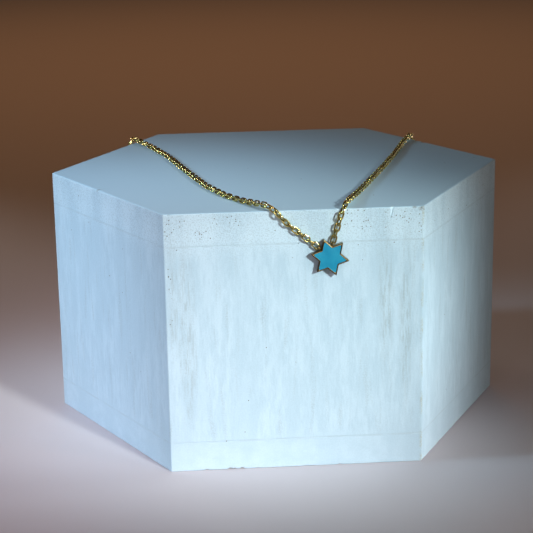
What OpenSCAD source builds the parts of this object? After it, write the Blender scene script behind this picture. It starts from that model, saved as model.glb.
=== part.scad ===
// Star pendant on a fine cable chain, draped over a painted hexagonal display block.
// Millimetres. The origin is the centre of the block's underside, and the front face looks towards -Y.

/* [Display block] */
// Width of the front and back faces
front_w = 53; // [49:0.5:60]
// Width across the left and right corners
corner_w = 102; // [96:0.5:112]
// Depth from the front face to the back face
depth = 89; // [84:0.5:98]
// Height of the whole block
block_h = 55.6; // [50:0.1:70]
// Thickness of the top board
top_t = 6.9; // [5:0.1:9]
// Thickness of the base board
base_t = 6.4; // [5:0.1:9]
// Thickness of the side panels
panel_t = 6; // [4:0.1:9]
// Glue line left between two pieces of wood
glue_gap = 0.1; // [0.06:0.01:0.15]

/* [Star] */
// Width of the star from tip to opposite tip
star_w = 8.1; // [7.6:0.1:8.6]
// Thickness of the star's metal
star_t = 1.3; // [1.1:0.05:1.5]
// Width of the metal rim round the enamel
rim_w = 0.27; // [0.2:0.01:0.35]
// Depth of the pocket that holds the enamel
pocket_d = 0.5; // [0.3:0.05:0.7]
// Space round the enamel in its pocket
enamel_gap = 0.03; // [0.02:0.01:0.05]
// How far the enamel lies below the rim
enamel_drop = 0.05; // [0:0.01:0.1]
// How far the star leans to the left as it hangs
star_lean = 18.2; // [15:0.1:21]
// Place of the star's centre, to the right of the block's middle
star_x = 7.1; // [5:0.1:9]
// Depth of the star's centre below the block's top
star_below = 9.75; // [9.4:0.05:10.6]
// Space between the star's back and the block
star_gap = 0.3; // [0.25:0.01:0.35]

/* [Star loops] */
// Outer diameter of the two loops soldered in the star's notches
loop_d = 1.3; // [1.2:0.05:1.4]
// Wire of the loops
loop_wire = 0.3; // [0.24:0.01:0.32]
// Depth of each loop in its solder
loop_sink = 0.2; // [0.1:0.01:0.25]
// How much nearer the block the loops sit than the middle of the star's thickness
loop_back = 0.2; // [0.16:0.01:0.24]

/* [Chain] */
// Length of a link
link_l = 2.06; // [2.03:0.01:2.1]
// Width of a link
link_w = 1.4; // [1.36:0.01:1.44]
// Wire of a link
link_wire = 0.3; // [0.26:0.01:0.31]
// Play between one link and the next
link_play = 0.16; // [0.14:0.01:0.2]

/* [Clasp] */
// Outer diameter of the clasp's ring
clasp_d = 5; // [4.6:0.1:6]
// Wire of the clasp's ring
clasp_wire = 1; // [0.8:0.05:1.1]
// Outer diameter of the clasp's eye
eye_d = 2.2; // [2:0.05:2.4]
// Wire of the eye
eye_wire = 0.5; // [0.4:0.05:0.6]
// Outer diameter of the end ring
end_ring_d = 3.2; // [3:0.05:3.6]
// Wire of the end ring
end_ring_wire = 0.6; // [0.45:0.05:0.65]
// Tilt of the clasp from lying flat
clasp_tilt = 28; // [15:1:35]

/* [Hidden] */
$fn = 32;

gold = "goldenrod";
paint = "aliceblue";
enamel = "deepskyblue";

// The block's outline, one corner after another from the front left, turning to the right
front_y = -depth / 2;
corners = [[-front_w / 2, front_y], [front_w / 2, front_y], [corner_w / 2, 0],
    [front_w / 2, -front_y], [-front_w / 2, -front_y], [-corner_w / 2, 0]];

// How far the chain's middle stays from the block's face, its top, its edges and the surface below
lift_front = 0.76;
lift_top = 0.64;
lift_edge = 1.45;
lift_down = 0.64;
lift_table = 0.7;

// Chosen places that each strand of the chain passes. On the front face a row holds the place across and
// the depth below the block's top, on the top face the place across and back from the front face, and on
// the table the place across and back from the back face.
left_front = [[-1.6, 2.5]];
left_edge = -4.9;
left_top = [[-9.6, 7], [-13.2, 13], [-16.8, 22.7], [-20.5, 38.2], [-24.5, 56.4], [-28, 68]];
left_exit = 0.76;
left_table = [[-35.5, 0], [-33, 12], [-20, 22.5], [-9, 26]];
right_front = [[8.3, 4.9]];
right_edge = 10.1;
right_top = [[15, 13], [18.4, 22.3], [23.2, 35.7], [28.2, 50.4], [32.8, 65.4]];
right_exit = 0.64;
right_table = [[38.3, -5.5], [37.5, 9], [25, 21.5], [12, 26]];

// How gently the chain bends at a place of its route, at the block's edges and where it meets the table
bend_soft = 8;
bend_edge = 2.9;
bend_foot = 4;

link_pitch = link_l - 2 * link_wire - link_play;
// The chain's end link sits this much outwards of the middle of the loop that it passes through
link_seat = 0.05;
// Links over which the chain turns from lying flat at the star to standing askew on the block
link_turn_count = 8;
// Share of its twist off the surface that a link loses against the one before
link_settle = 0.3;
// Share of the way from the foot of its fall to the first place on the table at which a strand's links end
landing_share = 0.5;
// Space between a strand's last link and the rest of the chain
tail_gap = 0.1;
tail_sides = 8;
tail_step = 3;

clasp_y = depth / 2 + 26.5;
clasp_core = (clasp_d - clasp_wire) / 2;
end_ring_core = (end_ring_d - end_ring_wire) / 2;
clasp_play = 0.1;
clasp_z = end_ring_core * cos(clasp_tilt) + end_ring_wire / 2 + 0.05;
eye_sink = 0.3;
eye_x = -clasp_d / 2 - eye_d / 2 + eye_sink;
end_ring_x = clasp_core - clasp_wire / 2 - clasp_play - end_ring_wire / 2 + end_ring_core;

function unit(v) = v / norm(v);
function mix(a, b, t) = a + (b - a) * t;

// A star of two crossed triangles, by the distance from its centre to a tip
module star_outline(tip) {
    for (turn = [0, 60])
        rotate(turn) circle(r = tip, $fn = 3);
}

// The star's own frame: +X to the tip that stands between the loops, and the front face upwards
module at_star() {
    translate([star_x, front_y - star_gap, block_h - star_below])
        rotate([90, 0, 0])
            rotate(90 + star_lean)
                children();
}

star_tip = star_w / 2;
star_notch = star_tip / sqrt(3);
loop_reach = star_notch + loop_d / 2 - loop_sink;
loop_level = star_t / 2 - loop_back;

// Middle of a loop, on the left for side 1 and on the right for side -1
function loop_place(side) =
    let (angle = 90 + star_lean + side * 30)
        [star_x + loop_reach * cos(angle), front_y - star_gap - loop_level,
            block_h - star_below + loop_reach * sin(angle)];

module ring(outer_d, wire) {
    rotate_extrude() translate([(outer_d - wire) / 2, 0]) circle(d = wire);
}

// One bend of a route at corner b, as places with the direction away from the surface blended across it
function bend(a, b, c, r, up_in, up_out) =
    let (u = unit(a - b), v = unit(c - b), half = acos(u * v) / 2, centre = b + unit(u + v) * r / sin(half),
        p = b + u * r / tan(half) - centre, q = b + v * r / tan(half) - centre,
        turn = 180 - 2 * half, steps = max(2, ceil(turn / 10)))
    [for (k = [0:steps])
        [centre + (p * sin(turn * (1 - k / steps)) + q * sin(turn * k / steps)) / sin(turn),
            unit(mix(up_in, up_out, k / steps))]];

// A rounded route through rows of [place, bend radius, direction away from the surface up to the next row]
function route(rows) =
    [[rows[0][0], rows[0][2]],
        for (i = [1:len(rows) - 2])
            each bend(rows[i - 1][0], rows[i][0], rows[i + 1][0], rows[i][1], rows[i - 1][2], rows[i][2]),
        [rows[len(rows) - 1][0], rows[len(rows) - 2][2]]];

// Distance along a route to each of its places
function distances(path) =
    [for (i = 0, s = 0; i < len(path);
        s = s + (i + 1 < len(path) ? norm(path[i + 1][0] - path[i][0]) : 0), i = i + 1) s];

function place_before(along, s, low, high) =
    high - low <= 1 ? low
        : let (middle = floor((low + high) / 2))
            along[middle] <= s ? place_before(along, s, middle, high) : place_before(along, s, low, middle);

// Place and direction away from the surface at a distance along a route
function route_at(path, along, s) =
    let (i = place_before(along, s, 0, len(path) - 1), t = (s - along[i]) / (along[i + 1] - along[i]))
        mix(path[i], path[i + 1], t);

// Axes that run with a step of the route and away from the surface, as a placing matrix
function placing(from, to, up, middle) =
    let (x = unit(to - from), y = unit(cross(up, x)), z = cross(x, y))
        [[x[0], y[0], z[0], middle[0]], [x[1], y[1], z[1], middle[1]], [x[2], y[2], z[2], middle[2]],
            [0, 0, 0, 1]];

up_front = [0, -1, 0];
up_top = [0, 0, 1];
function up_back(side) = unit([side * -front_y, (corner_w - front_w) / 2, 0]);

// Place where a strand passes over the block's back edge, and the foot of its fall
function exit_place(side, share) =
    mix([side * corner_w / 2, 0, 0], [side * front_w / 2, -front_y, 0], share);

function table_place(p) = [p[0], p[1] - front_y, lift_table];

// A strand from the star up the front face, over the top, and down the back to the table
function strand_rows(side, front, edge, top, exit, table) =
    let (start = loop_place(-side), over = exit_place(side, exit), down = up_back(side),
        foot = over + down * lift_down + [0, 0, lift_table])
    [[start, 0, up_front],
        for (p = front) [[p[0], front_y - lift_front, block_h - p[1]], bend_soft, up_front],
        [[edge, front_y - lift_edge, block_h + lift_edge], bend_edge, up_top],
        for (p = top) [[p[0], front_y + p[1], block_h + lift_top], bend_soft, up_top],
        [over + down * lift_edge + [0, 0, block_h + lift_edge], bend_edge, down],
        [foot, bend_foot, up_top],
        [mix(foot, table_place(table[0]), landing_share), 0, up_top]];

left_strand = route(strand_rows(-1, left_front, left_edge, left_top, left_exit, left_table));
right_strand = route(strand_rows(1, right_front, right_edge, right_top, right_exit, right_table));

// A link lying along X, with its flat side up
module link() {
    link_core = (link_w - link_wire) / 2;
    straight = link_l - link_w;
    for (side = [-1, 1]) {
        translate([side * straight / 2, 0, 0])
            rotate(-90 * side)
                rotate_extrude(angle = 180) translate([link_core, 0]) circle(d = link_wire);
        translate([-straight / 2, side * link_core, 0])
            rotate([0, 90, 0]) cylinder(d = link_wire, h = straight);
    }
}

// How far a strand's first link starts along its route, which is inside the loop that it passes through
link_start = link_seat - link_wire / 2;

function link_count(length) = 1 + floor((length - tail_gap - link_start - link_l) / link_pitch);

// Both ends of each link of a strand, with the direction away from the surface there
function link_ends(path) =
    let (along = distances(path))
    [for (i = [0:link_count(along[len(path) - 1]) - 1])
        let (s = link_start + i * link_pitch + link_l / 2,
            from = route_at(path, along, s - link_pitch / 2), to = route_at(path, along, s + link_pitch / 2))
        [from[0], to[0], unit(from[1] + to[1])]];

function square_to(v, run) = unit(v - run * (v * run));

// A chain twists little from one link to the next, so each link follows the one before and turns only
// part of the way back to how it would lie on the surface
function link_ups(ends) =
    [for (i = 0, up = ends[0][2]; i < len(ends); i = i + 1,
        up = i == len(ends) ? up
            : let (run = unit(ends[i][1] - ends[i][0]))
                unit(mix(square_to(up, run), square_to(ends[i][2], run), link_settle)))
        up];

// Links from the star to the table, each a quarter turn from the next
module strand(path) {
    ends = link_ends(path);
    ups = link_ups(ends);
    for (i = [0:len(ends) - 1])
        multmatrix(placing(ends[i][0], ends[i][1], ups[i], (ends[i][0] + ends[i][1]) / 2))
            rotate([45 * min(1, i / link_turn_count) + 90 * (i % 2), 0, 0])
                link();
}

// Two boards and six panels of the block
module board(z, t) {
    translate([0, 0, z]) linear_extrude(t) polygon(corners);
}

module side_panel(k) {
    from = corners[k];
    to = corners[(k + 1) % 6];
    run = unit(to - from);
    inwards = [-run[1], run[0]];
    before = unit(from - corners[(k + 5) % 6]);
    after = unit(corners[(k + 2) % 6] - to);
    // Both ends are mitred along the line that halves the corner
    start_slope = tan((180 - acos(-before * run)) / 2);
    end_slope = tan((180 - acos(-run * after)) / 2);
    inset = glue_gap / 2;
    translate([0, 0, base_t + glue_gap])
        linear_extrude(block_h - top_t - base_t - 2 * glue_gap)
            polygon([from + run * inset, to - run * inset,
                to - run * (inset + panel_t * end_slope) + inwards * panel_t,
                from + run * (inset + panel_t * start_slope) + inwards * panel_t]);
}

module base_board() { color(paint) board(0, base_t); }
module panel_front() { color(paint) side_panel(0); }
module panel_front_right() { color(paint) side_panel(1); }
module panel_back_right() { color(paint) side_panel(2); }
module panel_back() { color(paint) side_panel(3); }
module panel_back_left() { color(paint) side_panel(4); }
module panel_front_left() { color(paint) side_panel(5); }
module top_board() { color(paint) board(block_h - top_t, top_t); }

// The metal star is a tray with a rim, with both loops soldered in its upper notches
module star_frame() {
    color(gold) at_star() {
        difference() {
            linear_extrude(star_t) star_outline(star_tip);
            translate([0, 0, star_t - pocket_d]) linear_extrude(star_t) star_outline(star_tip - 2 * rim_w);
        }
        for (side = [-1, 1])
            rotate(side * 30)
                translate([loop_reach, 0, loop_level])
                    rotate([90, 0, 0])
                        ring(loop_d, loop_wire);
    }
}

module star_enamel() {
    color(enamel) at_star()
        translate([0, 0, star_t - pocket_d + enamel_gap])
            linear_extrude(pocket_d - enamel_gap - enamel_drop)
                star_outline(star_tip - 2 * (rim_w + enamel_gap));
}

module chain_left() { color(gold) strand(left_strand); }
module chain_right() { color(gold) strand(right_strand); }

// The rest of the chain, from just past a strand's last link to the clasp
function tail_rows(path, table, end_x) =
    let (along = distances(path), count = link_count(along[len(path) - 1]),
        from = link_start + (count - 1) * link_pitch + link_l + tail_gap)
    [[route_at(path, along, from)[0], 0, up_top],
        for (p = table) [table_place(p), bend_soft, up_top],
        [[end_x, clasp_y, clasp_z], 0, up_top]];

// It lies as a tube of the links' width
module tail(rows) {
    path = route(rows);
    along = distances(path);
    total = along[len(path) - 1];
    steps = ceil(total / tail_step);
    rings = [for (i = [0:steps])
        let (s = min(total * i / steps, total - 0.001), here = route_at(path, along, s),
            from = route_at(path, along, max(s - 0.5, 0)), to = route_at(path, along, min(s + 0.5, total - 0.001)),
            m = placing(from[0], to[0], here[1], here[0]))
        [for (k = [0:tail_sides - 1])
            let (a = 360 * (k + 0.5) / tail_sides, p = m * [0, cos(a) * link_w / 2, sin(a) * link_w / 2, 1])
                [p[0], p[1], p[2]]]];
    last = len(rings) - 1;
    polyhedron(
        points = [for (r = rings) each r],
        faces = [
            [for (k = [0:tail_sides - 1]) k],
            for (i = [0:last - 1], k = [0:tail_sides - 1])
                let (n = (k + 1) % tail_sides)
                    [i * tail_sides + k, (i + 1) * tail_sides + k, (i + 1) * tail_sides + n, i * tail_sides + n],
            [for (k = [tail_sides - 1:-1:0]) last * tail_sides + k]]);
}

module chain_tail_left() {
    color(gold) tail(tail_rows(left_strand, left_table, eye_x - eye_d / 2 - clasp_play));
}
module chain_tail_right() {
    color(gold) tail(tail_rows(right_strand, right_table, end_ring_x + end_ring_d / 2 + clasp_play));
}

// The clasp is one plain ring with an eye, and the end ring passes through it
module clasp() {
    color(gold) translate([0, clasp_y, clasp_z]) rotate([clasp_tilt, 0, 0]) {
        ring(clasp_d, clasp_wire);
        translate([eye_x, 0, 0]) ring(eye_d, eye_wire);
    }
}
module end_ring() {
    color(gold) translate([end_ring_x, clasp_y, clasp_z]) rotate([clasp_tilt + 90, 0, 0])
        ring(end_ring_d, end_ring_wire);
}

base_board();
panel_front();
panel_front_right();
panel_back_right();
panel_back();
panel_back_left();
panel_front_left();
top_board();
star_frame();
star_enamel();
chain_left();
chain_right();
chain_tail_left();
chain_tail_right();
clasp();
end_ring();
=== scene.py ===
"""A small enamelled star on a fine gold plated cable chain, draped over a painted hexagonal block."""
import math

import bpy
import numpy as np
from mathutils import Euler, Matrix, Vector, noise


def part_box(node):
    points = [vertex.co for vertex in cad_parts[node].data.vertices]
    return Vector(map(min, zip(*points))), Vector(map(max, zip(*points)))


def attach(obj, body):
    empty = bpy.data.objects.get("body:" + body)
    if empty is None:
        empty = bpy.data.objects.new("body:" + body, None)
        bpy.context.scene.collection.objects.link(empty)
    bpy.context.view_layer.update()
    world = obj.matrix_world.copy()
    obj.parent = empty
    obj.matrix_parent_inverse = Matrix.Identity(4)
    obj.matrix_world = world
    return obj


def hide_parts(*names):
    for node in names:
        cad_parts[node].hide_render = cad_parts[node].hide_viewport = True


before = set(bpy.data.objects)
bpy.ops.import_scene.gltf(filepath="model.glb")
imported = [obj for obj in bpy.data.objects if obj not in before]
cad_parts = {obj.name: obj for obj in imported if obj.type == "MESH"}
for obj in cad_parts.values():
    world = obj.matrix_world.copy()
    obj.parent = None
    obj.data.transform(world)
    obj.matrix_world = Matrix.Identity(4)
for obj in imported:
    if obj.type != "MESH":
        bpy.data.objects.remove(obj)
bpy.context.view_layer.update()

# Base board: a hexagonal board sawn from solid wood, glued under the six panels. Like the rest of the
# block it is brushed with chalky white paint, and its sawn edges are softened and a little chipped.
MM = 0.001
BLOCK_BODY = "block_and_chain"
base_low, base_high = (np.array(corner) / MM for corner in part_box("base_board"))
top_low, top_high = (np.array(corner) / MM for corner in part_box("top_board"))
panel_low, panel_high = (np.array(corner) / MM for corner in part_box("panel_front"))
base_top = base_high[2]
board_under = top_low[2]
block_h = top_high[2]
front_y = base_low[1]
glue_gap = 0.1
panel_t = panel_high[1] - panel_low[1]
front_half = panel_high[0] + glue_gap / 2
corners = np.array([(-front_half, front_y), (front_half, front_y), (base_high[0], 0),
                    (front_half, -front_y), (-front_half, -front_y), (base_low[0], 0)])
runs = np.roll(corners, -1, axis=0) - corners
side_lengths = np.linalg.norm(runs, axis=1)
outward = np.column_stack([runs[:, 1], -runs[:, 0]]) / side_lengths[:, None]
face_distance = (outward * corners).sum(axis=1)

# Steps along a side: close together at its corners, and a third of a millimetre in between
corner_steps = np.array([0, 0.1, 0.2, 0.32, 0.48, 0.7])
side_step = 0.35
joint_steps = np.array([0, 0.05, 0.12, 0.25])


def side_shares(length, finer=()):
    """Places along a side as shares of its length, without the last corner, and finer where wanted."""
    count = round((length - 2 * corner_steps[-1]) / side_step)
    middle = np.linspace(corner_steps[-1], length - corner_steps[-1], count + 1)[1:-1]
    return np.sort(np.concatenate([corner_steps, middle, length - corner_steps[:0:-1], finer])) / length


def inset_corners(inset):
    """The block's corners, moved inwards so that each side lies deeper by the inset."""
    halfway = outward + np.roll(outward, 1, axis=0)
    return corners - inset * halfway / (halfway * outward).sum(axis=1)[:, None]


# The front face has a nick in its top edge, this far from the face's left corner
by_the_nick = np.arange(45.82, 47.3, 0.07)


def outline(inset, level):
    """One ring of places round the block at a depth inside its faces and at a height."""
    moved = inset_corners(inset)
    rows = []
    for k in range(6):
        shares = side_shares(side_lengths[k], by_the_nick if k == 0 else ())[:, None]
        rows.append(moved[k] + (moved[(k + 1) % 6] - moved[k]) * shares)
    flat = np.vstack(rows)
    return np.column_stack([flat, np.full(len(flat), level)])


def stacked(rings):
    """Places and faces of a closed solid with one ring above the other and a cap at both ends."""
    n = len(rings[0])
    faces = [tuple(range(n))[::-1]]
    for row in range(len(rings) - 1):
        low, high = row * n, (row + 1) * n
        faces += [(low + i, low + (i + 1) % n, high + (i + 1) % n, high + i) for i in range(n)]
    faces.append(tuple((len(rings) - 1) * n + i for i in range(n)))
    return np.vstack(rings), faces


def grain(places, cell, shift):
    """Smooth noise from about -1 to 1 at places in millimetres, in patches of the cell's size."""
    return np.array([noise.noise(Vector(p) / cell + Vector((shift, 0, 0))) for p in places])


# How far the block's edges are rounded off, and chips in them, as (x, y, z, width, depth)
edge_round = 0.24
least_round, most_round = 0.06, 1
chips = np.array([
    (-19.0, front_y, 0, 0.6, 0.35), (-14.1, front_y, 0, 0.6, 0.5), (-13.2, front_y, 0, 0.45, 0.45),
    (-11.6, front_y, 0, 0.5, 0.55), (-8.4, front_y, 0, 0.4, 0.3), (9.0, front_y, 0, 0.5, 0.3),
    (24.6, front_y, block_h, 0.7, 0.4), (25.9, front_y, block_h - 0.4, 0.6, 0.4),
    (-25.3, front_y, block_h, 0.5, 0.3), (front_half, front_y, 47.6, 0.5, 0.3),
    (-40.0, -19.2, block_h, 0.8, 0.4), (38.0, 22.7, block_h, 0.7, 0.45), (-30.0, 36.7, 0, 0.9, 0.5)])


def chip_depth(places):
    """How deep each place lies in a chip."""
    depth = np.zeros(len(places))
    for x, y, z, width, deep in chips:
        away = np.linalg.norm(places - (x, y, z), axis=1)
        depth = np.maximum(depth, deep * np.exp(-(away / width) ** 2))
    return depth


def worn_radius(places):
    """How far the block's edges are rounded off at each place."""
    uneven = 1 + 0.45 * grain(places, 1.1, 0) + 0.35 * grain(places, 4, 7)
    chipped = 1.1 * np.maximum(grain(places, 2.2, 19) - 0.42, 0)
    return np.clip(edge_round * uneven + chipped + chip_depth(places), least_round, most_round)


def rounded(places):
    """Pulls places at the sharp block's edges onto edges that are rounded by the worn radius."""
    radius = worn_radius(places)
    past = places[:, :2] @ outward.T - face_distance + radius[:, None]
    order = np.argsort(-past, axis=1)[:, :2]
    rows = np.arange(len(places))
    first, second = past[rows, order[:, 0]], past[rows, order[:, 1]]
    nearest, next_side = outward[order[:, 0]], outward[order[:, 1]]
    lean = (nearest * next_side).sum(axis=1)
    both = (second > 0) & (second > lean * first)
    share_first = np.where(both, (first - lean * second) / (1 - lean ** 2), np.maximum(first, 0))
    share_second = np.where(both, (second - lean * first) / (1 - lean ** 2), 0)
    over = np.column_stack([share_first[:, None] * nearest + share_second[:, None] * next_side,
                            np.maximum(places[:, 2] - block_h + radius, 0)
                            - np.maximum(radius - places[:, 2], 0)])
    length = np.linalg.norm(over, axis=1)
    share = np.where(length > 0, radius / np.maximum(length, 1e-9), 1)
    return places - over * (1 - share)[:, None]


# A nick in the front face that runs down and to the left from the top edge
nick_top = np.array([20.5, block_h + 0.2])
nick_foot = np.array([19.6, block_h - 2.5])
nick_depth = 0.4
nick_width = 0.9
joint_depth = 0.045
joint_width = 0.08
# Only places this near to a face are marked
skin_depth = 1


def nick_share(places):
    """How deep each place lies in the nick, as a share of its depth. It is deepest along its right side."""
    along = nick_foot - nick_top
    from_top = places[:, [0, 2]] - nick_top
    down = from_top @ along / (along @ along)
    across = (from_top[:, 1] * along[0] - from_top[:, 0] * along[1]) / np.linalg.norm(along)
    width = nick_width * np.clip(1 - down, 0.05, 1)
    inside = (down > -0.2) & (down < 1) & (across < 0) & (across > -width)
    inside &= places[:, 1] < front_y + skin_depth
    return np.where(inside, 1 + across / width, 0)


def marked(places):
    """Presses the nick and the shallow joint lines between boards and panels into the faces."""
    pressed = places.copy()
    pressed[:, 1] += nick_depth * nick_share(places)
    gaps = np.minimum(abs(places[:, 2] - base_top), abs(places[:, 2] - board_under))
    open_here = np.clip(0.3 + 2.2 * grain(places, 5, 31), 0, 1)
    sink = joint_depth * open_here * np.exp(-(gaps / joint_width) ** 2)
    past_faces = places[:, :2] @ outward.T - face_distance
    nearest = past_faces.argmax(axis=1)
    at_face = past_faces.max(axis=1) > -skin_depth
    pressed[:, :2] -= outward[nearest] * (sink * at_face)[:, None]
    return pressed


def plain_mesh(name, places, faces, material):
    """A mesh object from places in millimetres, at the origin."""
    mesh = bpy.data.meshes.new(name)
    mesh.from_pydata((np.asarray(places) * MM).tolist(), [], faces)
    mesh.materials.append(material)
    mesh.polygons.foreach_set("use_smooth", np.ones(len(faces), bool))
    mesh.update()
    piece = bpy.data.objects.new(name, mesh)
    bpy.context.scene.collection.objects.link(piece)
    return piece


def node(tree, kind, inputs=None, **settings):
    """Adds a node. Each input is a plain value or another node's output."""
    made = tree.nodes.new(kind)
    for name, value in settings.items():
        setattr(made, name, value)
    for key, value in (inputs or {}).items():
        if isinstance(value, bpy.types.NodeSocket):
            tree.links.new(value, made.inputs[key])
        else:
            made.inputs[key].default_value = value
    return made


def math_node(tree, operation, a, b=0.0):
    """One step of arithmetic with plain values or other nodes' outputs."""
    return node(tree, "ShaderNodeMath", {0: a, 1: b}, operation=operation).outputs[0]


def fade(tree, value, low, high, to_low=0.0, to_high=1.0):
    """Turns a value smoothly from one range into another."""
    inputs = {"Value": value, "From Min": low, "From Max": high, "To Min": to_low, "To Max": to_high}
    return node(tree, "ShaderNodeMapRange", inputs, interpolation_type="SMOOTHSTEP").outputs["Result"]


def tint(tree, share, a, b):
    """Colour a where the share is 0, colour b where it is 1, and a mix in between."""
    return node(tree, "ShaderNodeMix", {0: share, 6: a, 7: b}, data_type="RGBA").outputs[2]


def patches(tree, place, stretch, detail, shift=0.0):
    """Noise from 0 to 1 whose patches are stretched by the given counts for each millimetre."""
    mapping = {"Vector": place, "Location": (shift, shift, shift), "Scale": stretch}
    moved = node(tree, "ShaderNodeMapping", mapping).outputs[0]
    return node(tree, "ShaderNodeTexNoise", {"Vector": moved, "Scale": 1.0, "Detail": detail}).outputs["Fac"]


def new_material(name):
    """An empty material with its shader, and the place on the piece in millimetres."""
    material = bpy.data.materials.new(name)
    material.use_nodes = True
    tree = material.node_tree
    tree.nodes.clear()
    shader = node(tree, "ShaderNodeBsdfPrincipled")
    node(tree, "ShaderNodeOutputMaterial", {"Surface": shader.outputs[0]})
    seen = node(tree, "ShaderNodeTexCoord").outputs["Object"]
    place = node(tree, "ShaderNodeVectorMath", {0: seen, 3: 1 / MM}, operation="SCALE").outputs[0]
    return material, tree, shader, place


PAINT_LIGHT = (0.645, 0.795, 0.88, 1)
PAINT_SHADE = (0.56, 0.715, 0.80, 1)
PAINT_BRIGHT = (0.755, 0.90, 0.975, 1)
PAINT_SKYLIT_TINT = (0.60, 0.785, 0.91, 1)
PAINT_THIN = (0.45, 0.55, 0.58, 1)
PAINT_SOILED = (0.40, 0.48, 0.49, 1)
PAINT_RUBBED = (0.50, 0.49, 0.38, 1)
BARE_WOOD = (0.17, 0.12, 0.07, 1)
PINHOLE = (0.12, 0.11, 0.075, 1)
# Spots on the front face, as (x, z, half width, half height): where it is soiled, and where pinholes gather
soiled_spots = [(-22.3, 29, 2.5, 31), (-24.9, 38, 1.5, 18), (18.8, 36, 2.4, 22), (23.0, 32, 2.2, 26)]
pinhole_spots = [(-24.3, 53.6, 3.2, 2.4), (-25.6, 51.6, 1.6, 1.8), (-13.5, 54, 4.6, 2.3),
                 (-18.2, 51.4, 3.6, 2), (13, 53.2, 5.5, 3.2), (22, 53, 5, 3.4), (-25.7, 40, 0.9, 13),
                 (25.9, 52, 1.4, 4)]
# The spots reach this far into the block
spot_depth = 2


def blotch(tree, place, x, z, width, height):
    """A soft oval spot on the front face, from 0 to 1."""
    mapping = {"Vector": place, "Location": (-x / width, -front_y / spot_depth, -z / height),
               "Scale": (1 / width, 1 / spot_depth, 1 / height)}
    moved = node(tree, "ShaderNodeMapping", mapping).outputs[0]
    away = node(tree, "ShaderNodeVectorMath", {0: moved}, operation="LENGTH").outputs["Value"]
    return fade(tree, away, 0.15, 1.0, 1.0, 0.0)


def any_of(tree, place, spots):
    """From 0 to 1 where any of the spots lies."""
    total = blotch(tree, place, *spots[0])
    for spot in spots[1:]:
        total = math_node(tree, "MAXIMUM", total, blotch(tree, place, *spot))
    return total


def named(tree, attribute):
    """The value that a mesh keeps under an attribute's name."""
    return node(tree, "ShaderNodeAttribute", attribute_name=attribute).outputs["Fac"]


def times(tree, first, *others):
    """The product of all the values."""
    for other in others:
        first = math_node(tree, "MULTIPLY", first, other)
    return first


def joint_darkening(tree, height, upright, dabs):
    """How much darker the paint is along the glue joints between boards and panels: more in some places than
    in others.
    """
    to_base, to_top = (math_node(tree, "ABSOLUTE", math_node(tree, "SUBTRACT", height, level))
                       for level in (base_top, board_under))
    to_joint = math_node(tree, "MINIMUM", to_base, to_top)
    return times(tree, upright, fade(tree, to_joint, 0.04, 0.3, 0.4, 0.0),
                 fade(tree, dabs, 0.35, 0.6, 0.25, 1.0))


def pinholes(tree, place, grainy):
    """From 0 to 1 where a pinhole is. One cell of paint in many has one, and their sizes differ."""
    cells = node(tree, "ShaderNodeTexVoronoi", {"Vector": place, "Scale": 2.3}, feature="F1")
    luck, size = node(tree, "ShaderNodeSeparateXYZ", {0: cells.outputs["Color"]}).outputs[:2]
    gather = math_node(tree, "ADD", times(tree, any_of(tree, place, pinhole_spots), 0.4),
                       times(tree, grainy, 0.02))
    present = math_node(tree, "GREATER_THAN", math_node(tree, "ADD", luck, gather), 0.999)
    reach = times(tree, present, fade(tree, size, 0.2, 1, 0.13, 0.38))
    return fade(tree, math_node(tree, "SUBTRACT", reach, cells.outputs["Distance"]), 0.0, 0.06)


def with_wear_and_nick_highlight(tree, colour, speckle):
    """The paint's colour, with a painted highlight on the nick's slope, and changed where the mesh says that
    it is rubbed or bare.
    """
    # Painted highlight: the nick's slope is lightened where the light would catch it
    colour = tint(tree, fade(tree, named(tree, "nick_highlight"), 0.0, 0.3), colour, PAINT_BRIGHT)
    rubbed = times(tree, named(tree, "rubbed"), fade(tree, speckle, 0.4, 0.6, 0.15, 0.8))
    colour = tint(tree, rubbed, colour, PAINT_RUBBED)
    bare = times(tree, named(tree, "bare"), fade(tree, speckle, 0.3, 0.5, 0.5, 1.0))
    return tint(tree, bare, colour, BARE_WOOD)


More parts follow.
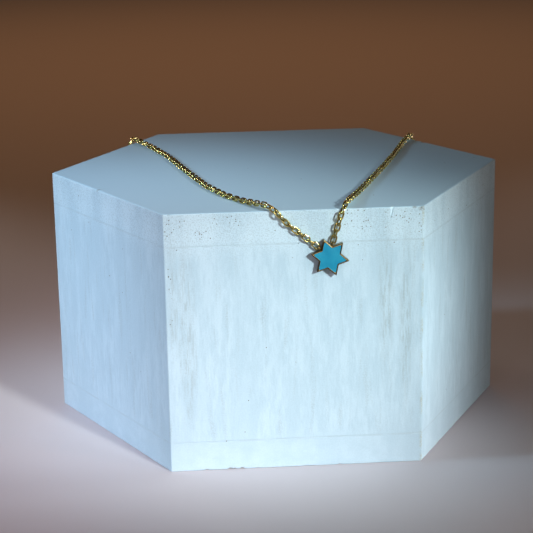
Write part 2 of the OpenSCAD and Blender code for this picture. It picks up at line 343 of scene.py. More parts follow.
def chalky_paint():
    """White chalk paint: brushed up and down on the panels, dabbed on the boards, grainy at the top edge."""
    material, tree, shader, place = new_material("chalky_white_paint")
    height = node(tree, "ShaderNodeSeparateXYZ", {0: place}).outputs[2]
    facing = node(tree, "ShaderNodeNewGeometry").outputs["Normal"]
    rising = node(tree, "ShaderNodeSeparateXYZ", {0: facing}).outputs[2]
    upright = fade(tree, math_node(tree, "ABSOLUTE", rising), 0.35, 0.8, 1.0, 0.0)
    brushed = times(tree, upright, fade(tree, height, base_top - 1, base_top + 2.5),
                    fade(tree, height, board_under - 2.5, board_under + 1, 1.0, 0.0))
    grainy = times(tree, upright, fade(tree, height, board_under - 4, board_under + 2.5))

    bristles = patches(tree, place, (2.1, 2.1, 0.42), 3.0)
    strokes = patches(tree, place, (0.5, 0.5, 0.11), 4.0, 7)
    washes = patches(tree, place, (0.19, 0.19, 0.06), 3.0, 61)
    dabs = patches(tree, place, (0.35, 0.35, 0.5), 4.0, 31)
    speckle = patches(tree, place, (3.6, 3.6, 3.6), 3.0, 23)
    thin = patches(tree, place, (0.7, 0.7, 0.08), 3.0, 40)
    scuffs = patches(tree, place, (2.8, 2.8, 0.3), 3.0, 77)

    body = math_node(tree, "ADD", times(tree, bristles, 0.4), times(tree, strokes, 0.6))
    dabbed = fade(tree, dabs, 0.2, 0.8, 0.44, 0.56)
    shade = node(tree, "ShaderNodeMix", {0: brushed, 2: dabbed, 3: body}).outputs[0]
    colour = tint(tree, fade(tree, shade, 0.38, 0.6), PAINT_SHADE, PAINT_LIGHT)
    # The grainy band at the top board's edge is painted whiter, and this also makes up for the lamps' light
    # falling off there
    colour = tint(tree, times(tree, grainy, 0.7), colour, PAINT_BRIGHT)
    # Faces that face up are tinted bluer: painted cool light falling on them from above
    colour = tint(tree, fade(tree, rising, 0.5, 0.9), colour, PAINT_SKYLIT_TINT)
    washed = times(tree, fade(tree, washes, 0.38, 0.66, 0.0, 0.75), upright)
    colour = tint(tree, washed, colour, PAINT_SHADE)
    worn = times(tree, fade(tree, thin, 0.54, 0.74), brushed, fade(tree, speckle, 0.35, 0.65, 0.1, 0.45))
    colour = tint(tree, worn, colour, PAINT_THIN)
    grit = math_node(tree, "ADD", times(tree, grainy, 0.36), times(tree, upright, 0.1))
    colour = tint(tree, times(tree, fade(tree, speckle, 0.5, 0.66), grit), colour, PAINT_THIN)
    colour = tint(tree, times(tree, fade(tree, speckle, 0.5, 0.36), grit), colour, PAINT_BRIGHT)
    soiled = any_of(tree, place, soiled_spots)
    dirt = math_node(tree, "ADD", fade(tree, scuffs, 0.46, 0.64, 0.12, 0.52),
                     fade(tree, speckle, 0.54, 0.66, 0.0, 0.15))
    colour = tint(tree, times(tree, soiled, dirt), colour, PAINT_SOILED)
    colour = tint(tree, joint_darkening(tree, height, upright, dabs), colour, PAINT_THIN)
    hole = pinholes(tree, place, grainy)
    colour = tint(tree, times(tree, hole, 0.85), colour, PINHOLE)
    tree.links.new(with_wear_and_nick_highlight(tree, colour, speckle), shader.inputs["Base Color"])

    rough = fade(tree, shade, 0.3, 0.7, 0.62, 0.82)
    tree.links.new(rough, shader.inputs["Roughness"])
    shader.inputs["Specular IOR Level"].default_value = 0.3
    relief = math_node(tree, "ADD", times(tree, bristles, brushed, 0.35),
                       times(tree, dabs, fade(tree, upright, 0, 1, 0.02, 0.2)))
    relief = math_node(tree, "SUBTRACT", relief, times(tree, speckle, fade(tree, grainy, 0, 1, 0.1, 0.6)))
    relief = math_node(tree, "SUBTRACT", relief, hole)
    bump = node(tree, "ShaderNodeBump", {"Height": relief, "Strength": 0.7, "Distance": 0.00014})
    tree.links.new(bump.outputs[0], shader.inputs["Normal"])
    return material


block_paint = chalky_paint()
rubbed_reach = 0.6


def block_piece(name, rings, replaced):
    """A painted wooden piece of the block, whose outer edges follow the whole block's worn outline."""
    places, faces = stacked(rings)
    bare = np.clip(2.6 * chip_depth(places) - 0.45, 0, 1)
    # The upright edge at the front's right is rubbed down to a yellowed undercoat in places
    from_edge = np.abs(places[:, 0] - front_half) + np.abs(places[:, 1] - front_y)
    rubbed = np.clip(1 - from_edge / rubbed_reach, 0, 1) * np.clip(0.4 + 1.6 * grain(places, 2.5, 53), 0, 1)
    piece = plain_mesh(name, marked(rounded(places)), faces, block_paint)
    for worn, values in (("bare", bare), ("rubbed", rubbed), ("nick_highlight", nick_share(places))):
        attribute = piece.data.attributes.new(worn, "FLOAT", "POINT")
        attribute.data.foreach_set("value", values.astype(np.float32))
    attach(piece, BLOCK_BODY)
    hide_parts(replaced)


edge_steps = np.array([0, 0.08, 0.17, 0.28, 0.42, 0.65, 1])
deep_insets = [3, panel_t, 14, 26, 38]


def board_rings(bottom, top, free_low, free_high, board_step):
    """Rings from a board's underside to its top. A free face has a worn edge, and the other is glued."""
    low_steps = edge_steps if free_low else joint_steps
    high_steps = edge_steps if free_high else joint_steps
    count = round((top - bottom - low_steps[-1] - high_steps[-1]) / board_step)
    middle = np.linspace(bottom + low_steps[-1], top - high_steps[-1], count + 1)[1:-1]
    levels = np.concatenate([bottom + low_steps, middle, top - high_steps[::-1]])
    under = [outline(inset, bottom) for inset in deep_insets[::-1]]
    over = [outline(inset, top) for inset in deep_insets]
    if free_low:
        under += [outline(inset, bottom) for inset in edge_steps[:0:-1]]
    if free_high:
        over = [outline(inset, top) for inset in edge_steps[1:]] + over
    return under + [outline(0, level) for level in levels] + over


base_rings = board_rings(0, base_top, free_low=True, free_high=False, board_step=0.38)
block_piece("painted_base_board", base_rings, "base_board")

# Side panels: six thinner boards set on edge between the base and the top, mitred and glued at the
# corners so that only the painted outline shows. The brush went over them from top to bottom.
panel_step = 0.7
panel_nodes = ["panel_front", "panel_front_right", "panel_back_right", "panel_back",
               "panel_back_left", "panel_front_left"]
panel_count = round((board_under - base_top - 2 * joint_steps[-1]) / panel_step)
panel_levels = np.concatenate([
    base_top + joint_steps,
    np.linspace(base_top + joint_steps[-1], board_under - joint_steps[-1], panel_count + 1)[1:-1],
    board_under - joint_steps[::-1]])
inner_corners = inset_corners(panel_t)
for k, panel_node in enumerate(panel_nodes):
    shares = np.append(side_shares(side_lengths[k]), 1)[:, None]
    outer = corners[k] + runs[k] * shares
    section = np.vstack([outer, inner_corners[(k + 1) % 6], inner_corners[k]])
    rings = [np.column_stack([section, np.full(len(section), level)]) for level in panel_levels]
    block_piece("painted_" + panel_node, rings, panel_node)

# Top board: like the base board, glued on last. The necklace lies over it, and its top face is the
# smoothest of the painted faces.
top_rings = board_rings(board_under, block_h, free_low=False, free_high=True, board_step=0.2)
block_piece("painted_top_board", top_rings, "top_board")

# Star tray: cast in brass and gold plated, a six-pointed tray with a thin polished rim. Its two loops
# of round wire are soldered into the notches beside its upper tip, and hold the chain's two ends.
STAR_BODY = "star"
star_w = 8.1
star_t = 1.3
rim_w = 0.27
pocket_d = 0.5
star_lean = 18.2
loop_d = 1.3
loop_wire = 0.3
loop_sink = 0.2
loop_back = 0.2
# Degrees from a tip to the notch beside it, where a loop is soldered in
notch_turn = 30
star_tip = star_w / 2
star_notch = star_tip / math.sqrt(3)
loop_reach = star_notch + loop_d / 2 - loop_sink
loop_level = star_t / 2 - loop_back
enamel_low, enamel_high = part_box("star_enamel")
tray_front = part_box("star_frame")[0].y / MM
star_centre = Vector(((enamel_low.x + enamel_high.x) / 2 / MM, tray_front + star_t,
                      (enamel_low.z + enamel_high.z) / 2 / MM))
# The star's own frame has its x axis through the tip between the loops and z out of its front
star_turn = Matrix.Rotation(math.radians(90), 3, "X") @ Matrix.Rotation(math.radians(90 + star_lean), 3, "Z")
star_matrix = np.array(star_turn)


def on_star(places):
    """Places in the star's own frame, in the shared frame."""
    return np.asarray(places) @ star_matrix.T + np.array(star_centre)


tip_round = 0.09
notch_round = 0.05
least_tip_round = 0.02
arc_steps = 5


def star_ring(depth, level, tip_r=tip_round):
    """The star's outline with its sides moved inwards by the depth, and its corners rounded."""
    points = []
    for k in range(12):
        is_tip = k % 2 == 0
        tip = star_tip - 2 * depth
        reach = tip if is_tip else tip / math.sqrt(3)
        half = math.radians(notch_turn if is_tip else 2 * notch_turn)
        radius = max(tip_r - depth, least_tip_round) if is_tip else notch_round + depth
        out = math.radians(notch_turn * k)
        # A tip's arc is centred inside the outline, and a notch's arc outside it
        sense = 1 if is_tip else -1
        centre = reach - sense * radius / math.sin(half)
        sweep = math.pi / 2 - half
        for step in range(arc_steps + 1):
            turn = sense * sweep * (2 * step / arc_steps - 1)
            x = centre + sense * radius * math.cos(turn)
            y = sense * radius * math.sin(turn)
            across = x * math.cos(out) - y * math.sin(out)
            along = x * math.sin(out) + y * math.cos(out)
            points.append((across, along, level))
    return np.array(points)


# The tray's side, as (depth inside the star's outline, level above its back), and then its low domed
# rim, outside and inside of the crown, as (depth, drop below the crown)
cap_depth = 1.0
cap_tip_round = 1.05
pocket_tip_round = 0.5
tray_side = [(0.07, 0), (0.02, 0.02), (0, 0.07)]
rim_outside = [(0, 0.12), (0.004, 0.085), (0.016, 0.06), (0.036, 0.044), (0.07, 0.031), (0.11, 0.019),
               (0.16, 0.007), (0.2, 0)]
rim_inside = [(0.215, 0.002), (0.232, 0.01), (0.252, 0.03), (rim_w, 0.06), (rim_w, pocket_d)]
tray_rings = [star_ring(cap_depth, 0)] + [star_ring(depth, level) for depth, level in tray_side]
tray_rings += [star_ring(depth, star_t - drop) for depth, drop in rim_outside]
tray_rings += [star_ring(depth, star_t - drop, tip_r=pocket_tip_round) for depth, drop in rim_inside]
tray_rings.append(star_ring(cap_depth, star_t - pocket_d, tip_r=cap_tip_round))


def wire_ring(outer_d, wire, segments, sides):
    """Places and faces of a ring of round wire that lies flat round the origin."""
    reach = (outer_d - wire) / 2
    turn = np.arange(segments) * 2 * math.pi / segments
    tilt = np.arange(sides) * 2 * math.pi / sides
    radius = reach + wire / 2 * np.cos(tilt)[None, :]
    places = np.stack([radius * np.cos(turn)[:, None], radius * np.sin(turn)[:, None],
                       np.broadcast_to(wire / 2 * np.sin(tilt), (segments, sides))], axis=-1).reshape(-1, 3)
    faces = []
    for i in range(segments):
        j = (i + 1) % segments
        for k in range(sides):
            m = (k + 1) % sides
            faces.append((i * sides + k, j * sides + k, j * sides + m, i * sides + m))
    return places, faces


# Dark colour of dull metal, also used as painted shade and dark reflection on the tray's side and inside the
# links
DULL_AND_SHADED = (0.12, 0.085, 0.03, 1)


def metal(name, colour, roughness, scratches):
    """Polished gold plate with hairline scratches. Where the mesh marks dull and shaded parts, it is dark:
    dull metal, with painted shade.
    """
    material, tree, shader, place = new_material(name)
    shader.inputs["Metallic"].default_value = 1.0
    clouds = patches(tree, place, (1.3, 1.3, 1.3), 3.0, 5)
    hair = patches(tree, place, (14, 14, 2.5), 2.0, 17)
    deeper = tuple(c * s for c, s in zip(colour, (0.80, 0.72, 0.55))) + (1,)
    shown = tint(tree, fade(tree, clouds, 0.35, 0.7), colour + (1,), deeper)
    dull_and_shade = named(tree, "dull_and_shaded")
    tree.links.new(tint(tree, dull_and_shade, shown, DULL_AND_SHADED), shader.inputs["Base Color"])
    gloss = fade(tree, clouds, 0.3, 0.7, roughness * 0.75, roughness * 1.4)
    tree.links.new(math_node(tree, "ADD", gloss, times(tree, dull_and_shade, 0.2)), shader.inputs["Roughness"])
    bump = node(tree, "ShaderNodeBump", {"Height": hair, "Strength": scratches, "Distance": 0.00001})
    tree.links.new(bump.outputs[0], shader.inputs["Normal"])
    return material


plated = metal("polished_gold_plate", (0.66, 0.52, 0.25), 0.1, 0.3)


def settle(piece):
    """Turns a piece with its modifiers into a plain mesh."""
    evaluated = piece.evaluated_get(bpy.context.evaluated_depsgraph_get())
    mesh = bpy.data.meshes.new_from_object(evaluated)
    piece.modifiers.clear()
    piece.data = mesh


def join_solid(piece, part):
    """Melts a part into a piece, as solder does."""
    union = piece.modifiers.new("union", "BOOLEAN")
    union.operation = "UNION"
    union.solver = "EXACT"
    union.object = part
    settle(piece)
    bpy.data.objects.remove(part)


tray_places, tray_faces = stacked(tray_rings)
star_tray = plain_mesh("star_tray", on_star(tray_places), tray_faces, plated)
loop_places, loop_faces = wire_ring(loop_d, loop_wire, segments=48, sides=14)
for side in (-1, 1):
    to_notch = Matrix.Rotation(math.radians(side * notch_turn), 3, "Z")
    stand = to_notch @ Matrix.Rotation(math.radians(90), 3, "X")
    middle = to_notch @ Vector((loop_reach, 0, loop_level))
    in_notch = loop_places @ np.array(stand).T + np.array(middle)
    loop = plain_mesh("loop", on_star(in_notch), loop_faces, plated)
    join_solid(star_tray, loop)


def depth_inside_star(places):
    """How deep places in the star's own frame lie inside its outline. It is a pair of crossed triangles."""
    deepest = np.full(len(places), -np.inf)
    for first in (60, 0):
        turn = np.radians(first + 120 * np.arange(3))
        sides = star_tip / 2 - places[:, :2] @ np.array([np.cos(turn), np.sin(turn)])
        deepest = np.maximum(deepest, sides.min(axis=1))
    return deepest


# The tray's side was cast and left dull. It is darkened further with painted shade and dark reflection, out
# onto the rim's outer edge
side_reach = 0.09
polished_drop = 0.025
side_darkness = 0.9
corners_of_tray = np.empty(len(star_tray.data.vertices) * 3, np.float32)
star_tray.data.vertices.foreach_get("co", corners_of_tray)
seen_from_star = (corners_of_tray.reshape(-1, 3) / MM - np.array(star_centre)) @ star_matrix
on_side = abs(depth_inside_star(seen_from_star)) < side_reach
on_side &= seen_from_star[:, 2] < star_t - polished_drop
dark_side = star_tray.data.attributes.new("dull_and_shaded", "FLOAT", "POINT")
dark_side.data.foreach_set("value", np.where(on_side, side_darkness, 0).astype(np.float32))
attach(star_tray, STAR_BODY)
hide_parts("star_frame")

# Star enamel: opaque turquoise enamel, filled into the tray as paste, fired and polished almost level
# with the rim. It creeps up a little at the rim and is a trace fuller in the middle.
enamel_foot = star_t - pocket_d + 0.02
enamel_level = star_t - 0.06
enamel_lap = 0.01
# The fill's underside closes on a smaller star, of this share of its size
underside_share = 0.4
# Height above the enamel's level at shares of the way from the rim to the middle
enamel_rise = [(0, 0.012), (0.012, -0.004), (0.035, -0.014), (0.09, -0.014), (0.2, -0.004), (0.4, 0.01),
               (0.62, 0.02), (0.82, 0.026), (0.95, 0.028)]
enamel_edge = star_ring(rim_w - enamel_lap, 0, tip_r=pocket_tip_round)
enamel_rings = [enamel_edge * underside_share + (0, 0, enamel_foot), enamel_edge + (0, 0, enamel_foot)]
enamel_rings += [enamel_edge * (1 - share) + (0, 0, enamel_level + rise) for share, rise in enamel_rise]
ENAMEL_DEEP = (0.0165, 0.289, 0.459, 1)
ENAMEL_PALE = (0.028, 0.347, 0.51, 1)


def fired_enamel():
    """Opaque glass that is a little cloudy, under a glossy and faintly rippled surface."""
    material, tree, shader, place = new_material("turquoise_enamel")
    clouds = patches(tree, place, (0.35, 0.35, 0.35), 2.0, 3)
    fine = patches(tree, place, (5, 5, 5), 2.0, 9)
    shade = math_node(tree, "ADD", clouds, math_node(tree, "MULTIPLY", fine, 0.2))
    colour = tint(tree, fade(tree, shade, 0.4, 0.8), ENAMEL_DEEP, ENAMEL_PALE)
    tree.links.new(colour, shader.inputs["Base Color"])
    tree.links.new(fade(tree, fine, 0.3, 0.7, 0.12, 0.2), shader.inputs["Roughness"])
    shader.inputs["Coat Weight"].default_value = 0.6
    shader.inputs["Coat Roughness"].default_value = 0.05
    ripple = node(tree, "ShaderNodeBump", {"Height": clouds, "Strength": 0.2, "Distance": 0.00005})
    tree.links.new(ripple.outputs[0], shader.inputs["Normal"])
    return material


enamel_places, enamel_faces = stacked(enamel_rings)
enamel_fill = plain_mesh("enamel_fill", on_star(enamel_places), enamel_faces, fired_enamel())
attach(enamel_fill, STAR_BODY)
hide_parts("star_enamel")

# Chain: two strands of gold plated cable links, each link bent from wire, soldered shut, a quarter
# turn from the next and pressed flat on its sides. They run from the star's loops over the block.
link_l = 2.06
link_w = 1.4
link_wire = 0.3
link_play = 0.16
link_pitch = link_l - 2 * link_wire - link_play
link_seat = 0.05
link_start = link_seat - link_wire / 2
link_turn_count = 8
link_settle = 0.3
link_roll = 45
link_wobble = 9
wobble_rate = 2.4
lift_front, lift_top, lift_edge, lift_down, lift_table = 0.76, 0.64, 1.45, 0.64, 0.7
bend_soft, bend_edge, bend_foot = 8, 2.9, 4
bend_step = 10
landing_share = 0.5
tail_gap = 0.1
# Chosen places of each strand, in rows as in the solids: across and down the front face, where it
# crosses the front edge, across and back over the top, where it leaves, and on the table behind
strands = {
    "left": dict(side=-1, front=[(-1.6, 2.5)], edge=-4.9,
                 top=[(-9.6, 7), (-13.2, 13), (-16.8, 22.7), (-20.5, 38.2), (-24.5, 56.4), (-28, 68)],
                 leaves=0.76, table=[(-35.5, 0), (-33, 12), (-20, 22.5), (-9, 26)]),
    "right": dict(side=1, front=[(8.3, 4.9)], edge=10.1,
                  top=[(15, 13), (18.4, 22.3), (23.2, 35.7), (28.2, 50.4), (32.8, 65.4)],
                  leaves=0.64, table=[(38.3, -5.5), (37.5, 9), (25, 21.5), (12, 26)])}
UP_FRONT = np.array([0.0, -1, 0])
UP_TOP = np.array([0.0, 0, 1])


def unit(direction):
    """The same direction, with a length of 1."""
    return direction / np.linalg.norm(direction)


def bend(before, corner, after, radius, up_in, up_out):
    """A bend at a corner, as places with the direction away from the surface."""
    back, onward = unit(before - corner), unit(after - corner)
    half = math.acos(np.clip(back @ onward, -1, 1)) / 2
    centre = corner + unit(back + onward) * radius / math.sin(half)
    start = corner + back * radius / math.tan(half) - centre
    end = corner + onward * radius / math.tan(half) - centre
    turn = math.pi - 2 * half
    steps = max(2, math.ceil(math.degrees(turn) / bend_step))
    shares = [k / steps for k in range(steps + 1)]
    return [(centre + (start * math.sin(turn * (1 - t)) + end * math.sin(turn * t)) / math.sin(turn),
             unit(up_in + (up_out - up_in) * t)) for t in shares]


def route(rows):
    """A rounded route through rows of (place, bend radius, direction away from the surface)."""
    path = [(rows[0][0], rows[0][2])]
    for before, here, after in zip(rows, rows[1:], rows[2:]):
        path += bend(before[0], here[0], after[0], here[1], before[2], here[2])
    path.append((rows[-1][0], rows[-2][2]))
    return np.array([place for place, up in path]), np.array([up for place, up in path])


def distances(places):
    """How far along a route each of its places lies."""
    return np.append(0, np.cumsum(np.linalg.norm(np.diff(places, axis=0), axis=1)))


def route_at(path, distance):
    """Place and direction away from the surface at a distance along a route."""
    along = distances(path[0])
    return tuple(np.array([np.interp(distance, along, column) for column in part.T]) for part in path)


def on_table(chosen):
    """A chosen place on the table behind the block, in the shared frame."""
    return np.array([chosen[0], chosen[1] - front_y, lift_table])


def strand_route(side, front, edge, top, leaves, table):
    """The strand's route from the star's loop to where it comes to lie on the table."""
    lean = math.radians(90 + star_lean - side * notch_turn)
    loop = [star_centre.x + loop_reach * math.cos(lean), star_centre.y - loop_level,
            star_centre.z + loop_reach * math.sin(lean)]
    down = unit(np.array([side * -front_y, base_high[0] - front_half, 0]))
    over = np.array([side * base_high[0], 0, 0])
    over = over + (np.array([side * front_half, -front_y, 0]) - over) * leaves
    foot = over + down * lift_down + UP_TOP * lift_table
    rows = [(np.array(loop), 0, UP_FRONT)]
    rows += [(np.array([x, front_y - lift_front, block_h - z]), bend_soft, UP_FRONT) for x, z in front]
    rows.append((np.array([edge, front_y - lift_edge, block_h + lift_edge]), bend_edge, UP_TOP))
    rows += [(np.array([x, front_y + y, block_h + lift_top]), bend_soft, UP_TOP) for x, y in top]
    rows.append((over + down * lift_edge + UP_TOP * (block_h + lift_edge), bend_edge, down))
    rows.append((foot, bend_foot, UP_TOP))
    rows.append((foot + (on_table(table[0]) - foot) * landing_share, 0, UP_TOP))
    return route(rows)


def whole_route(side, front, edge, top, leaves, table, end):
    """A strand's route with the rest of the chain joined on, and the number of its exact links."""
    path = strand_route(side, front, edge, top, leaves, table)
    length = distances(path[0])[-1]
    count = 1 + math.floor((length - tail_gap - link_start - link_l) / link_pitch)
    cut = link_start + (count - 1) * link_pitch + link_l + tail_gap
    turn_off = route_at(path, cut)
    rows = [(turn_off[0], 0, UP_TOP)] + [(on_table(place), bend_soft, UP_TOP) for place in table]
    tail = route(rows + [(np.array(end), 0, UP_TOP)])
    kept = distances(path[0]) < cut
    return (np.vstack([path[0][kept], tail[0]]), np.vstack([path[1][kept], tail[1]])), count


def link_places(path, count):
    """Middle, run, direction away from the surface and roll of every link of a strand."""
    length = distances(path[0])[-1]
    last_exact = link_start + (count - 1) * link_pitch + link_l / 2
    # The last link ends at the route's end, and an even count of links turns it the right way
    more = round((length - link_l / 2 - last_exact) / link_pitch)
    more += (count + more) % 2
    middles = [link_start + i * link_pitch + link_l / 2 for i in range(count)]
    middles += list(np.linspace(last_exact, length - link_l / 2, more + 1)[1:])
    rows = []
    up = path[1][0]
    for i, middle in enumerate(middles):
        start, start_up = route_at(path, middle - link_pitch / 2)
        end, end_up = route_at(path, middle + link_pitch / 2)
        run = unit(end - start)
        surface_up = unit(start_up + end_up)
        if i:
            carried = unit(up - run * (up @ run))
            wanted = unit(surface_up - run * (surface_up @ run))
            up = unit(carried + (wanted - carried) * link_settle)
        roll = link_roll * min(1, i / link_turn_count) + 90 * (i % 2)
        roll += link_wobble * math.sin(wobble_rate * i)
        rows.append(((start + end) / 2, run, up, math.radians(roll)))
    return rows


link_corners = 12
wire_sides = 6
half_step = math.radians(180 / link_corners)
half_side = math.radians(180 / wire_sides)


def link_of_wire(tree, given):
    """One link that lies along x with its middle at the origin, bent from wire of the given size."""
    # A circle, turned so that no point lies beside its middle, and drawn apart into a long link
    core = math_node(tree, "MULTIPLY", math_node(tree, "SUBTRACT", given["Width"], given["Wire"]), 0.5)
    core = math_node(tree, "DIVIDE", core, math.cos(half_step))
    circle = node(tree, "GeometryNodeCurvePrimitiveCircle", {"Resolution": link_corners, "Radius": core})
    turned = node(tree, "GeometryNodeTransform",
                  {0: circle.outputs[0], "Rotation": Euler((0, 0, half_step))})
    at = node(tree, "GeometryNodeInputPosition").outputs[0]
    x, y, z = node(tree, "ShaderNodeSeparateXYZ", {0: at}).outputs
    straight = math_node(tree, "MULTIPLY", math_node(tree, "SUBTRACT", given["Length"], given["Width"]), 0.5)
    shift = math_node(tree, "MULTIPLY", math_node(tree, "SIGN", x), straight)
    apart = node(tree, "ShaderNodeCombineXYZ", {0: shift}).outputs[0]
    drawn = node(tree, "GeometryNodeSetPosition", {0: turned.outputs[0], "Offset": apart})

    half_wire = math_node(tree, "MULTIPLY", given["Wire"], 0.5 / math.cos(half_side))
    profile = node(tree, "GeometryNodeCurvePrimitiveCircle", {"Resolution": wire_sides, "Radius": half_wire})
    profile = node(tree, "GeometryNodeTransform",
                   {0: profile.outputs[0], "Rotation": Euler((0, 0, half_side))})
    swept = node(tree, "GeometryNodeCurveToMesh",
                 {"Curve": drawn.outputs[0], "Profile Curve": profile.outputs[0]})

    # The link's long sides are pressed flat by a little
    limit = math_node(tree, "SUBTRACT", math_node(tree, "MULTIPLY", given["Width"], 0.5), given["Flat"])
    below = math_node(tree, "MULTIPLY", limit, -1.0)
    pressed = math_node(tree, "MAXIMUM", math_node(tree, "MINIMUM", y, limit), below)
    pressed = node(tree, "ShaderNodeCombineXYZ", {0: x, 1: pressed, 2: z}).outputs[0]
    link = node(tree, "GeometryNodeSetPosition", {0: swept.outputs[0], "Position": pressed})
    smooth = node(tree, "GeometryNodeSetShadeSmooth", {0: link.outputs[0], "Shade Smooth": True})

    # The inside of a link is out of the polishing wheel's reach, and is darkened further with painted shade
    # where the links crowd each other
    outwards = node(tree, "ShaderNodeVectorMath", {0: at, 1: apart}, operation="SUBTRACT").outputs[0]
    outwards = node(tree, "ShaderNodeVectorMath", {0: outwards}, operation="NORMALIZE").outputs[0]
    facing = node(tree, "GeometryNodeInputNormal").outputs[0]
    facing_out = node(tree, "ShaderNodeVectorMath", {0: outwards, 1: facing}, operation="DOT_PRODUCT")
    dull_and_shade = fade(tree, facing_out.outputs["Value"], 0.3, -0.7, 0.0, 0.95)
    shaded = node(tree, "GeometryNodeStoreNamedAttribute",
                  {"Geometry": smooth.outputs[0], "Name": "dull_and_shaded", "Value": dull_and_shade},
                  data_type="FLOAT", domain="POINT")
    return shaded.outputs[0]


def stored(tree, attribute, kind):
    """The value that every point keeps under an attribute's name."""
    reader = node(tree, "GeometryNodeInputNamedAttribute", {"Name": attribute}, data_type=kind)
    return reader.outputs["Attribute"]


def turn_of_link(tree):
    """The turn of a point's link, from the run, the direction up and the roll that the point keeps."""
    directions = {"Primary Axis": stored(tree, "run", "FLOAT_VECTOR"),
                  "Secondary Axis": stored(tree, "up", "FLOAT_VECTOR")}
    axes = node(tree, "FunctionNodeAxesToRotation", directions, primary_axis="X", secondary_axis="Z")
    about_run = {"Axis": (1, 0, 0), "Angle": stored(tree, "roll", "FLOAT")}
    roll = node(tree, "FunctionNodeAxisAngleToRotation", about_run)
    both = {"Rotation": axes.outputs[0], "Rotate By": roll.outputs[0]}
    return node(tree, "FunctionNodeRotateRotation", both, rotation_space="LOCAL").outputs[0]


def links_tree():
    """Geometry nodes that build one link from wire and set it on every point, turned as told there."""
    tree = bpy.data.node_groups.new("cable_links", "GeometryNodeTree")
    sockets = {}
    tree.interface.new_socket(name="Points", in_out="INPUT", socket_type="NodeSocketGeometry")
    for name in ("Length", "Width", "Wire", "Flat"):
        sockets[name] = tree.interface.new_socket(name=name, in_out="INPUT", socket_type="NodeSocketFloat")
    metal_kind = "NodeSocketMaterial"
    sockets["Metal"] = tree.interface.new_socket(name="Metal", in_out="INPUT", socket_type=metal_kind)
    tree.interface.new_socket(name="Links", in_out="OUTPUT", socket_type="NodeSocketGeometry")
    given = node(tree, "NodeGroupInput").outputs
    placed = node(tree, "GeometryNodeInstanceOnPoints",
                  {"Points": given["Points"], "Instance": link_of_wire(tree, given),
                   "Rotation": turn_of_link(tree)})
    real = node(tree, "GeometryNodeRealizeInstances", {0: placed.outputs[0]})
    clad = node(tree, "GeometryNodeSetMaterial", {"Geometry": real.outputs[0], "Material": given["Metal"]})
    node(tree, "NodeGroupOutput", {0: clad.outputs[0]})
    return tree, sockets


link_flat = 0.03
shown_wire = 0.35
link_gold = metal("chain_gold_plate", (0.86, 0.69, 0.25), 0.12, 0.15)
link_tree, link_sockets = links_tree()
clasp_low, clasp_high = (np.array(corner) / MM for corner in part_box("clasp"))
ring_high = np.array(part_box("end_ring")[1]) / MM
eye_wire = 0.5
end_ring_wire = 0.6
clasp_y = (clasp_low[1] + clasp_high[1]) / 2
clasp_z = (clasp_low[2] + clasp_high[2]) / 2
# A strand's last link passes round the wire of the clasp's eye, or round that of the end ring
chain_ends = {"left": (clasp_low[0] + eye_wire + link_seat + link_wire, clasp_y, clasp_z),
              "right": (ring_high[0] - end_ring_wire - link_seat - link_wire, clasp_y, clasp_z)}
for name, chosen in strands.items():
    path, exact_links = whole_route(end=chain_ends[name], **chosen)
    rows = link_places(path, exact_links)
    strand = plain_mesh(name + "_strand", [row[0] for row in rows], [], link_gold)
    for key, column, kind in (("run", 1, "FLOAT_VECTOR"), ("up", 2, "FLOAT_VECTOR"), ("roll", 3, "FLOAT")):
        values = np.array([row[column] for row in rows], np.float32).ravel()
        field = "vector" if kind == "FLOAT_VECTOR" else "value"
        strand.data.attributes.new(key, kind, "POINT").data.foreach_set(field, values)
    links = strand.modifiers.new("links", "NODES")
    links.node_group = link_tree
    for key, value in (("Length", link_l), ("Width", link_w), ("Wire", shown_wire), ("Flat", link_flat)):
        links[link_sockets[key].identifier] = value * MM
    links[link_sockets["Metal"].identifier] = link_gold
    settle(strand)
    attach(strand, BLOCK_BODY)
    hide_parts("chain_" + name, "chain_tail_" + name)

# Clasp and end ring: the two rings that close the chain behind the block, one through the other.
# Both are gold plated brass, and keep the solids' own shape.
for name in ("clasp", "end_ring"):
    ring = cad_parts[name]
    ring.data.materials.clear()
    ring.data.materials.append(plated)

# Floor: a plain pale sheet, far wider than the view. The block stands on it, and the far end of the
# chain lies on it.
floor_half = 3.0
floor_corners = [(x * floor_half, y * floor_half, 0) for x, y in ((-1, -1), (1, -1), (1, 1), (-1, 1))]
floor_mesh = bpy.data.meshes.new("floor")
floor_mesh.from_pydata(floor_corners, [], [(0, 1, 2, 3)])
floor = bpy.data.objects.new("floor", floor_mesh)
bpy.context.scene.collection.objects.link(floor)
floor_paint = bpy.data.materials.new("pale_floor")
floor_paint.use_nodes = True
floor_shader = floor_paint.node_tree.nodes["Principled BSDF"]
floor_shader.inputs["Base Color"].default_value = (0.71, 0.605, 0.605, 1)
floor_shader.inputs["Roughness"].default_value = 0.7
floor_mesh.materials.append(floor_paint)

# Light: five round lamps in front and beside, two low ones behind and one over the floor far behind.
# Each is brightest where it aims and fades towards its beam's edge. Two dim panels are there for the
# gold to mirror, and a dim even sky fills the shadows.
lamp_distance = 0.42


def towards(azimuth, elevation):
    """The direction from the block to a lamp. Azimuth 0 is in front of it and 90 to its right."""
    a, e = math.radians(azimuth), math.radians(elevation)
    return Vector((math.sin(a) * math.cos(e), -math.cos(a) * math.cos(e), math.sin(e)))


def hang(name, lamp, aim, azimuth, elevation):
    """Hangs a lamp so that it faces the place aimed at, in millimetres."""
    away = towards(azimuth, elevation)
    holder = bpy.data.objects.new(name, lamp)
    bpy.context.scene.collection.objects.link(holder)
    holder.location = Vector(aim) * MM + away * lamp_distance
    holder.rotation_mode = "QUATERNION"
    holder.rotation_quaternion = away.to_track_quat("Z", "Y")
    return holder


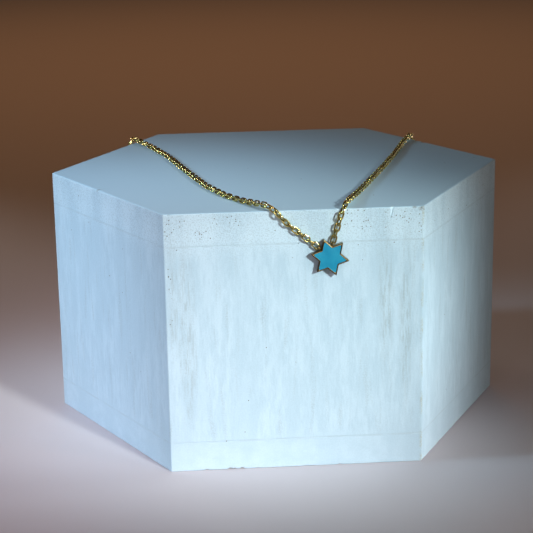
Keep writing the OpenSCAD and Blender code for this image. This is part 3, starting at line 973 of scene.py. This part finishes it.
def soft_panel(name, azimuth, elevation, width, height, watts):
    """A sheet of dim light that the polished gold mirrors. It isn't seen itself."""
    lamp = bpy.data.lights.new(name, "AREA")
    lamp.shape = "RECTANGLE"
    lamp.size = width
    lamp.size_y = height
    lamp.energy = watts
    beside_star = (10, front_y, 42)
    holder = hang(name, lamp, beside_star, azimuth, elevation)
    holder.visible_camera = False


def beam(name, azimuth, elevation, aim, spread, radius, watts, colour):
    """A round lamp whose beam is the given degrees wide, and that is soft by its radius."""
    lamp = bpy.data.lights.new(name, "SPOT")
    lamp.spot_size = math.radians(spread)
    lamp.spot_blend = 1.0
    lamp.shadow_soft_size = radius
    lamp.energy = watts
    lamp.color = colour
    hang(name, lamp, aim, azimuth, elevation)


beam("key_lamp", 32, 26, (-2, front_y, 32), 16, 0.018, 6.65, (0.82, 0.975, 1.0))
beam("high_left_lamp", -20, 35, (-45, 0, 0), 22, 0.04, 3.0, (0.98, 0.855, 1.0))
beam("low_right_lamp", 60, 8, (-20, front_y, -20), 16, 0.04, 4.8, (1.0, 0.92, 0.935))
beam("window_lamp", -85, 32, (-45, -10, 38), 19, 0.04, 5.75, (0.455, 0.77, 1.0))
beam("side_lamp", 95, 10, (27, -44, 28), 9, 0.02, 2.35, (0.79, 0.94, 1.0))
beam("back_left_lamp", -142, 1, (0, 0, 28), 40, 0.04, 2.4, (1.0, 0.96, 0.9))
beam("back_right_lamp", 142, 1, (0, 0, 28), 40, 0.04, 0.6, (1.0, 0.96, 0.9))
beam("backdrop_lamp", 180, 88, (0, 600, 300), 110, 0.2, 3.75, (1.0, 0.48, 0.18))
soft_panel("panel_right", 52, 34, 0.2, 0.2, 0.065)
soft_panel("panel_front", 11, 2.5, 0.24, 0.12, 0.085)
world = bpy.data.worlds.new("sky")
bpy.context.scene.world = world
world.use_nodes = True
world.node_tree.nodes["Background"].inputs["Color"].default_value = (1.0, 0.85, 0.65, 1)
world.node_tree.nodes["Background"].inputs["Strength"].default_value = 0.03
bpy.context.scene.view_settings.view_transform = "Standard"

# Camera: the photograph's place and angle, worked out from the block's corners, with everything in
# focus.
camera_place = Vector((-27.5, -347.6, 127.9)) * MM
camera_yaw, camera_pitch, camera_roll = math.radians(4.102), math.radians(15.425), math.radians(-0.981)
camera = bpy.data.objects.new("camera", bpy.data.cameras.new("camera"))
bpy.context.scene.collection.objects.link(camera)
camera.data.sensor_width = 36
camera.data.lens = 104.62
camera.data.clip_start = 0.01
look = Vector((math.sin(camera_yaw) * math.cos(camera_pitch), math.cos(camera_yaw) * math.cos(camera_pitch),
               -math.sin(camera_pitch)))
right = Vector((math.cos(camera_yaw), -math.sin(camera_yaw), 0))
above = right.cross(look)
turned_right = right * math.cos(camera_roll) + above * math.sin(camera_roll)
turned_above = above * math.cos(camera_roll) - right * math.sin(camera_roll)
camera.matrix_world = Matrix.Translation(camera_place) @ Matrix(
    (turned_right, turned_above, -look)).transposed().to_4x4()
bpy.context.scene.camera = camera
